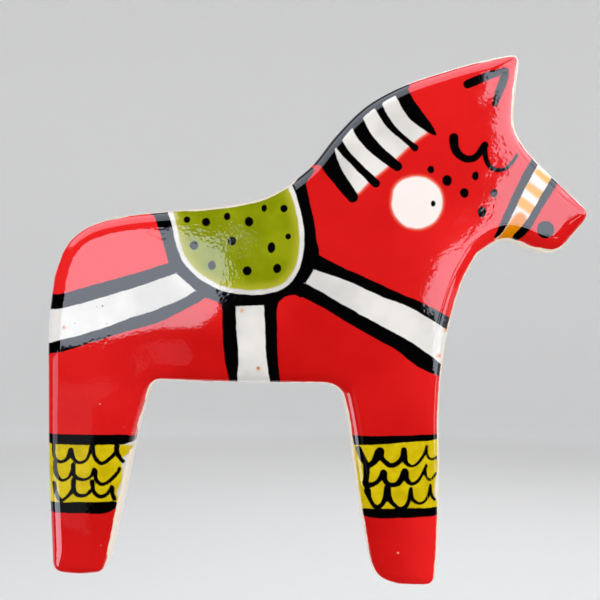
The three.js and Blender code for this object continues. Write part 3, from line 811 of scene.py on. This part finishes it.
def painted_glaze():
    """Underglaze colours on white, under one clear gloss glaze."""
    n = Nodes("painted_glaze")
    soft = n.noise(1.1, 2)
    fine = n.noise(0.35, 1)
    wash = n.noise(6, 3)
    mottle = n.noise(3.0, 3, 0.5)

    def cover(name, blur, wobble):
        """Where a paint lies: its field with the brush's waver, and its soft edge."""
        brushed = n.shaken(n.shaken(n.attribute(name), soft, wobble * 2), fine, wobble * 0.6)
        return n.ramp(brushed, -blur, blur, 1, 0)

    white = n.mix(n.ramp(wash, 0.35, 0.65), rgb(212, 208, 200), rgb(236, 231, 222))
    # The red's lightness is painted shading, lighter where the light falls and darker on the belly; the wash
    # noise only makes it uneven.
    thin = n.shaken(n.attribute("thin"), wash, 0.45)
    red = n.mix(n.ramp(thin, 0, 1, smooth=False), rgb(193, 12, 12), rgb(242, 37, 35))
    green = n.mix(n.ramp(mottle, 0.35, 0.7), rgb(131, 139, 5), rgb(147, 155, 14))
    green = n.mix(n.ramp(n.attribute("green"), -1.1, 0.1), green, rgb(176, 172, 44))
    brushed = n.noise(1.4, 3, 0.6)
    yellow = n.mix(n.ramp(brushed, 0.3, 0.7), rgb(199, 172, 5), rgb(220, 194, 18))
    halo = n.mix(n.ramp(n.attribute("red"), -0.4, 0.05), red, rgb(240, 110, 84))
    on_rim = n.ramp(n.shaken(n.attribute("rim"), soft, 0.2), -0.03, 0.05)

    colour = n.mix(n.ramp(n.attribute("eye"), -0.1, 0.1, 1, 0), white, rgb(250, 236, 228))
    colour = n.mix(n.math("MULTIPLY", cover("orange", 0.22, 0.1), 0.95), colour, rgb(232, 158, 12))
    colour = n.mix(n.math("MULTIPLY", cover("amber", 0.22, 0.1), 1.0), colour, rgb(222, 132, 0))
    colour = n.mix(cover("speck", 0.05, 0.03), colour, rgb(158, 118, 78))
    colour = n.mix(cover("green", 0.12, 0.1), colour, green)
    colour = n.mix(cover("yellow", 0.1, 0.1), colour, yellow)
    colour = n.mix(cover("red", 0.14, 0.08), colour, halo)
    # Painted highlights of little pits in the glaze: pale pink dots over the red.
    colour = n.mix(cover("pit_glint", 0.05, 0.03), colour, rgb(236, 168, 150))
    colour = n.mix(cover("black", 0.06, 0.08), colour, rgb(4, 3, 3))
    colour = n.mix(on_rim, rgb(240, 224, 200), colour)

    # The back is bare fired clay, with a few specks of iron.
    bare = n.ramp(n.attribute("rim"), BARE_FROM, BARE_TO)
    clay = n.mix(n.ramp(n.noise(4, 4, 0.6), 0.3, 0.7), rgb(216, 205, 188), rgb(228, 219, 204))
    iron = n.ramp(n.noise(0.5, 1), 0.73, 0.77, 0, 0.6)
    clay = n.mix(iron, clay, rgb(150, 116, 84))
    n.set("Base Color", n.mix(bare, colour, clay))
    n.set("Roughness", n.ramp(bare, 0, 1, GLAZE_ROUGHNESS, CLAY_ROUGHNESS))
    n.set("IOR", GLAZE_IOR)

    # The glaze's grain comes and goes in patches, and is strongest on the saddle.
    patchy = n.ramp(n.noise(2.5, 1), 0.35, 0.65, 0.5, 1.2)
    patchy = n.math("MULTIPLY", patchy, n.ramp(n.attribute("green"), -0.2, 0.8, 2.2, 1.0))
    grain = n.math("MULTIPLY", n.math("MULTIPLY", n.noise(0.3, 0), patchy), n.math("SUBTRACT", 1.0, bare))
    tooth = n.math("MULTIPLY", n.noise(0.5, 3, 0.65), bare)
    n.bump((grain, GLAZE_GRAIN), (n.noise(1.3, 0), GLAZE_SWELL), (tooth, CLAY_TOOTH))
    return n.material


def nickel():
    """Bright plate with fine streaks along the bar."""
    n = Nodes("nickel_plate")
    tone = n.noise(5, 2)
    n.set("Base Color", n.mix(n.ramp(tone, 0.3, 0.75), rgb(192, 188, 181), rgb(208, 205, 200)))
    n.set("Metallic", 1.0)
    drawn = n.noise(0.12, 2, stretch=(30, 1, 1))
    polish = n.ramp(tone, 0.3, 0.75, 0.14, 0.08)
    streaks = n.ramp(drawn, 0.3, 0.7, 0.05, 0.15)
    n.set("Roughness", n.math("ADD", polish, streaks))
    n.bump((n.noise(3.5, 1), 0.008), (drawn, 0.0003))
    return n.material


def wire():
    """Bright drawn steel."""
    n = Nodes("stem_wire")
    n.set("Base Color", rgb(208, 207, 203))
    n.set("Metallic", 1.0)
    n.set("Roughness", n.ramp(n.noise(0.3, 3), 0.3, 0.7, 0.14, 0.24))
    return n.material


def epoxy():
    """Hardened glue, amber and a little cloudy."""
    n = Nodes("epoxy")
    n.set("Base Color", n.mix(n.ramp(n.noise(2.2, 3), 0.35, 0.7), rgb(206, 186, 124), rgb(222, 207, 158)))
    n.set("Roughness", n.ramp(n.noise(1.2, 2), 0.35, 0.7, 0.1, 0.22))
    n.bump((n.noise(0.9, 2), 0.02))
    n.set("Subsurface Weight", 0.4)
    n.set("Subsurface Radius", (0.6, 0.45, 0.25))
    n.set("Subsurface Scale", 0.001)
    return n.material


# ---------------- the object

horse = glazed_slab()
horse.data.materials.append(painted_glaze())
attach(horse, "brooch")
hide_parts("ceramic_horse")

glue_piece = glue()
glue_piece.data.materials.append(epoxy())
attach(glue_piece, "brooch")
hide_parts("glue_bed")

BEVELS = {  # the width of each metal piece's worn edges, in millimetres
    "back_bar": 0.16,
    "hinge_bracket": 0.1,
    "bracket_rivet": 0.08,
    "hinge_pin": 0.08,
    "pin_stem": 0.05,
    "catch_housing": 0.1,
    "catch_rotor": 0.08,
}
WELD = 0.002  # points closer than this are one
FLAT_ANGLE = 0.5  # degrees: facets that bend less than this are one flat face
EDGE_ANGLE = 32  # degrees: a bend of more than this is an edge, and is worn
BEVEL_SEGMENTS = 3


def wear_edges(node, width):
    """Rounds a metal piece's edges and shades its facets smoothly."""
    node.data.normals_split_custom_set([(0, 0, 0)] * len(node.data.loops))
    node.data.shade_smooth()
    weld = node.modifiers.new("weld", "WELD")
    weld.merge_threshold = WELD * MM
    flat = node.modifiers.new("flat", "DECIMATE")
    flat.decimate_type = "DISSOLVE"
    flat.angle_limit = math.radians(FLAT_ANGLE)
    bevel = node.modifiers.new("bevel", "BEVEL")
    bevel.width = width * MM
    bevel.segments = BEVEL_SEGMENTS
    bevel.limit_method = "ANGLE"
    bevel.angle_limit = math.radians(EDGE_ANGLE)
    bevel.harden_normals = True


plate = nickel()
steel = wire()
for name, width in BEVELS.items():
    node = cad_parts[name]
    node.data.materials.clear()
    node.data.materials.append(steel if name == "pin_stem" else plate)
    wear_edges(node, width)

# ---------------- stage, lights and camera

VIEW_DISTANCE = 95  # from the camera to the painted face
HALF_WIDTH = 30  # half of what the camera sees across, at the painted face
FLOOR_BELOW = 60  # the brooch hangs clear of the floor, as on a garment

bpy.context.scene.view_settings.view_transform = "Standard"


def emitter(name, centre, size, radiance, colour=(1, 1, 1)):
    """A softbox that shines at the horse. Its centre is measured from the middle of the painted face."""
    light = bpy.data.lights.new(name, "AREA")
    light.shape = "RECTANGLE"
    light.size, light.size_y = size[0] * MM, size[1] * MM
    light.energy = radiance * math.pi * light.size * light.size_y
    light.color = colour
    made = bpy.data.objects.new(name, light)
    made.location = (Vector((ORIGIN_X, FRONT, ORIGIN_Z)) + Vector(centre)) * MM
    made.rotation_mode = "QUATERNION"
    made.rotation_quaternion = (-Vector(centre)).to_track_quat("-Z", "Y")
    made.visible_glossy = FRONT + centre[1] > BACK  # in front of the horse, the windows show instead
    bpy.context.scene.collection.objects.link(made)


SLOPE_STEP = 0.3


def slope(points):
    """The face's slope along u and v at the points: how fast it stands out towards the camera."""
    sideways, upwards = (SLOPE_STEP, 0), (0, SLOPE_STEP)
    moved = [points + sideways, points - sideways, points + upwards, points - upwards]
    rise = [relief(p, to_ring(p, OUTLINE)) for p in moved]
    return np.stack([rise[0] - rise[1], rise[2] - rise[3]], axis=1) / (2 * SLOPE_STEP)


def mirrored(seen, distance):
    """Where a light has to be, that far in front of the face, for the camera to see it in each (u, v)."""
    seen = np.array(seen, float)
    place = seen + (ORIGIN_X, ORIGIN_Z)
    normal = -with_y(slope(place), 1)
    ray = with_y(seen, VIEW_DISTANCE)
    ray -= 2 * (np.sum(ray * normal, axis=1) / np.sum(normal * normal, axis=1))[:, None] * normal
    return with_y(place, FRONT) + ray * (distance / -ray[:, 1])[:, None]


BOWL_PROFILE = [(0, 0), (420, 0), (500, 14), (565, 55), (605, 120), (622, 200), (625, 330), (625, 640)]
BOWL_SIDES = 96


def studio_bowl():
    """A round floor that sweeps up into a wall. Its profile is in (radius, height)."""
    curve = spline(BOWL_PROFILE, closed=False, steps=6)
    turns = np.arange(BOWL_SIDES) / BOWL_SIDES * 2 * math.pi
    floor = HORSE_LOW.z / MM - FLOOR_BELOW
    points = [[0, 0, floor]]
    for radius, height in curve[1:]:
        points += [[radius * math.cos(t), radius * math.sin(t), floor + height] for t in turns]
    faces = [[0, 1 + i, 1 + (i + 1) % BOWL_SIDES] for i in range(BOWL_SIDES)]
    faces += turned_over(strips(len(curve) - 1, BOWL_SIDES, start=1))
    return mesh_object("studio_bowl", points, faces)


def studio_paper():
    """Matt off-white paper that glows a little."""
    n = Nodes("studio_paper")
    n.set("Base Color", (0.86, 0.85, 0.83, 1))
    n.set("Roughness", 0.9)
    n.set("Specular IOR Level", 0.1)
    n.set("Emission Color", (1, 1, 1, 1))
    n.set("Emission Strength", 0.11)
    return n.material


bowl = studio_bowl()
bowl.data.materials.append(studio_paper())

COOL = (0.86, 0.93, 1.08)
WARM = (1.0, 0.98, 0.95)


def gloss_only(made):
    """Hides a card from everything except a gloss."""
    made.visible_camera = made.visible_diffuse = made.visible_transmission = made.visible_shadow = False


def glow(name, corners, radiance, colour=COOL):
    """A bright card seen only in a gloss. Its corners are in millimetres."""
    made = mesh_object(name, corners, [list(range(len(corners)))], smooth=False)
    gloss_only(made)
    shine = Nodes(name)
    shine.set("Base Color", (0, 0, 0, 1))
    shine.set("Emission Color", (*colour, 1))
    shine.set("Emission Strength", radiance)
    made.data.materials.append(shine.material)


# Dark cards seen only in a gloss: the shade that lets the windows show in the glaze.
SHADE = {
    "front": [(-320, -260, 205), (320, -260, 205), (320, -260, -84), (-320, -260, -84)],
    "floor": [(-320, -260, -84), (320, -260, -84), (320, 40, -84), (-320, 40, -84)],
    "left": [(-320, -260, -84), (-320, 200, -84), (-320, 200, 160), (-320, -260, 160)],
    "fore_leg": [(35, -70, -11), (35, -4, -11), (35, -4, -60), (35, -70, -60)],
    "saddle": [(-13.2, -6, 12.8), (-13.2, 3, 12.8), (-2.2, 3, 14), (-2.2, -6, 14)],
}
shade_corners = [(ORIGIN_X + x, FRONT + y, ORIGIN_Z + z) for card in SHADE.values() for x, y, z in card]
shade_faces = [[4 * k, 4 * k + 1, 4 * k + 2, 4 * k + 3] for k in range(len(SHADE))]
shade = mesh_object("dark_cards", shade_corners, shade_faces, smooth=False)
gloss_only(shade)
velvet = Nodes("black_velvet")
velvet.set("Base Color", (0.004, 0.004, 0.004, 1))
velvet.set("Roughness", 1.0)
velvet.set("Specular IOR Level", 0.0)
shade.data.materials.append(velvet.material)

WINDOW_DISTANCE = 240
WINDOW_RADIANCE = 4.9
HEAD_WINDOW_END = 117  # how far right the head window runs, where the side window takes over
# The windows' outlines, as they are seen in the glaze. Beyond the horse's outline, the flat face goes on.
RUMP_WINDOW = [
    (-33, -5.5), (-24, -4.7), (-20, -4.1), (-18, -3.6), (-14, -2.8), (-9.5, -2.1), (-8.3, -1.4),
    (-8.2, 0.6), (-7.7, 1.3), (-7.2, 2), (-7.4, 3.4), (-7.6, 5.35), (-7.5, 6.4), (-8.7, 6.1), (-10.1, 6.5),
    (-12, 7.5), (-13.8, 7.3), (-17, 8.6), (-20, 8.2), (-23, 6.4), (-25, 3), (-29, 0.5), (-33, 0),
]
HEAD_WINDOW = [
    (17.8, 23.2), (18.5, 22.3), (19.6, 21.6), (19.65, 20.5), (19.5, 18.8), (19.55, 16.2), (19.75, 15),
    (20.3, 13.9), (20.75, 13.4), (21.1, 13), (20.2, 12.4), (19.65, 11.9), (19.3, 10.6), (18.8, 9.9),
    (18.4, 8.6), (18.1, 7.4), (16.9, 6.1), (15.3, 5.5), (14.6, 4.8), (14, 4), (13.4, 3), (12.9, 1.8),
    (12.6, 0.5), (12.4, -0.5), (13.4, -1.6), (14.8, -2.8), (22, -3.5), (24, 0), (22.5, 3.6), (18.9, 5.3),
    (19.6, 6), (21.2, 6.3), (22.7, 7.3), (23.7, 6.6), (24.4, 6.3), (25.5, 6.4), (27, 7.8), (28, 8.7),
    (36, 3), (60, -14), (HEAD_WINDOW_END, -36), (HEAD_WINDOW_END, 70), (15, 70), (15.5, 35),
]
CHEST_WINDOW = [(29, -2.5), (50, -11.5), (50, -18), (29, -9)]

# Slivers of the window frame that the saddle's waves pick up.
SADDLE_GLINTS = [
    [(-5.95, 6.9), (-5.7, 6.9), (-5.35, 5.6), (-5, 4.3), (-5.25, 4.2), (-5.6, 5.4)],
    [(-4.95, 6.7), (-4.8, 6.7), (-4.55, 5.7), (-4.4, 4.9), (-4.55, 4.8), (-4.75, 5.6)],
]
GLINT_RADIANCE = 2.5

THIGH_VEIL = [(-60, -8), (-18.9, -8), (-18.8, -9), (-18.2, -13.5), (-21.2, -21), (-21.2, -60), (-60, -60)]
BELLY_VEIL = [(-16, -4.6), (-13.5, -4), (-11.5, -4.4), (-10.6, -5.4), (-11, -6.4), (-13, -6.9), (-16, -6.2)]


def window(name, seen, radiance):
    glow(name, mirrored(seen, WINDOW_DISTANCE), radiance)


window("rump_window", RUMP_WINDOW, WINDOW_RADIANCE)
window("head_window", HEAD_WINDOW, WINDOW_RADIANCE)
window("chest_window", CHEST_WINDOW, WINDOW_RADIANCE)
for number, glint in enumerate(SADDLE_GLINTS):
    window(f"saddle_glint_{number}", glint, GLINT_RADIANCE)

# Across the right side, in Y and Z: it lights the edges that turn that way.
SIDE_X = mirrored([(HEAD_WINDOW_END, 0)], WINDOW_DISTANCE)[0][0]
SIDE_WINDOW = [(-240, -160), (-45, -140), (-45, 20), (150, 20), (150, 450), (-240, 450)]
glow("side_window", [(SIDE_X, FRONT + y, ORIGIN_Z + z) for y, z in SIDE_WINDOW], WINDOW_RADIANCE)

SKY_HEIGHT = 330
SKY_RADIANCE = 3.0
SKY_PANEL = [(-560, -366), (SIDE_X, -366), (SIDE_X, 130), (-560, 130)]  # level, in X and Y
glow("sky_panel", [(ORIGIN_X + x, FRONT + y, ORIGIN_Z + SKY_HEIGHT) for x, y in SKY_PANEL], SKY_RADIANCE)

# Low cards close by, which light the hind leg's left edge.
LOW_SIDE = -45
LOW_NEAR = -31
LOW_FAR = -4
LOW_GLOWS = {"thigh_glow": (-7, -24, 2.0), "hoof_glow": (-24, -37, 5.5)}  # top, bottom, radiance
for name, (top, bottom, radiance) in LOW_GLOWS.items():
    low_card = [(LOW_NEAR, top), (LOW_FAR, top), (LOW_FAR, bottom), (LOW_NEAR, bottom)]
    glow(name, [(ORIGIN_X + LOW_SIDE, FRONT + y, ORIGIN_Z + z) for y, z in low_card], radiance)
window("thigh_veil", THIGH_VEIL, radiance=0.24)
window("belly_veil", BELLY_VEIL, radiance=0.3)

emitter("sky", centre=(0, -130, 330), size=(420, 540), radiance=1.3, colour=COOL)
emitter("key", centre=(80, -80, 90), size=(70, 70), radiance=4.6, colour=WARM)
emitter("left", centre=(-170, -40, -10), size=(150, 130), radiance=1.6, colour=COOL)
emitter("right", centre=(170, -40, 10), size=(120, 110), radiance=1.3, colour=COOL)
emitter("behind", centre=(120, BACK - FRONT + 300, 180), size=(240, 200), radiance=1.6)

WORLD_STRENGTH = 0.22
world = bpy.data.worlds.new("studio")
world.use_nodes = True
backdrop = world.node_tree.nodes["Background"].inputs
backdrop["Color"].default_value = (1, 1, 1, 1)
backdrop["Strength"].default_value = WORLD_STRENGTH
bpy.context.scene.world = world

SENSOR_WIDTH = 36
camera_data = bpy.data.cameras.new("camera")
camera_data.sensor_width = SENSOR_WIDTH
camera_data.lens = SENSOR_WIDTH / 2 * VIEW_DISTANCE / HALF_WIDTH
camera_data.clip_start = 0.005
camera_data.clip_end = 10
camera = bpy.data.objects.new("camera", camera_data)
camera.location = Vector((ORIGIN_X, FRONT - VIEW_DISTANCE, ORIGIN_Z)) * MM
camera.rotation_euler = (math.pi / 2, 0, 0)
bpy.context.scene.collection.objects.link(camera)
bpy.context.scene.camera = camera
